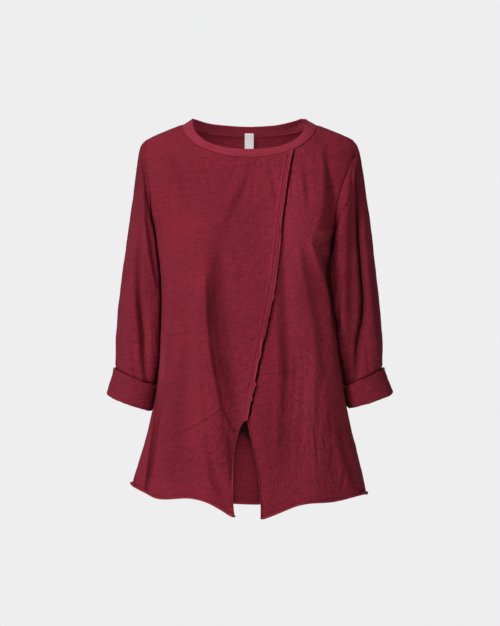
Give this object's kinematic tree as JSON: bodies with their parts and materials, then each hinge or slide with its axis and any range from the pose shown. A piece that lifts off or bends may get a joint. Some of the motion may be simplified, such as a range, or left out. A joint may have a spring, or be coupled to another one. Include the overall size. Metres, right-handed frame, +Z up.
{
  "type": "t-shirt",
  "caption": "Hollow, worn-form long-sleeved jersey t-shirt with turned-up cuffs, a wide round neck and a slanting lapped front seam that opens into a hem slit.",
  "frame": {"origin": "midway between the two high shoulder points, where the wearer's shoulders and neck hold the garment up", "axes": "+X to the right of someone who looks at the front, the front faces -Y, +Z up"},
  "size_m": [0.5401, 0.293, 0.7433],
  "materials": {
    "jersey": "garment-dyed, washed cotton jersey",
    "jersey_edge": "folded and raw jersey edges, a little paler",
    "tape": "plain white woven tape"
  },
  "bodies": {
    "root": {"front_main": "jersey", "front_side": "jersey", "back": "jersey", "sleeve_left": "jersey", "sleeve_right": "jersey", "cuff_left": "jersey", "cuff_right": "jersey", "neckband": "jersey_edge", "seam_edge": "jersey_edge", "label": "tape"}
  },
  "joints": []
}
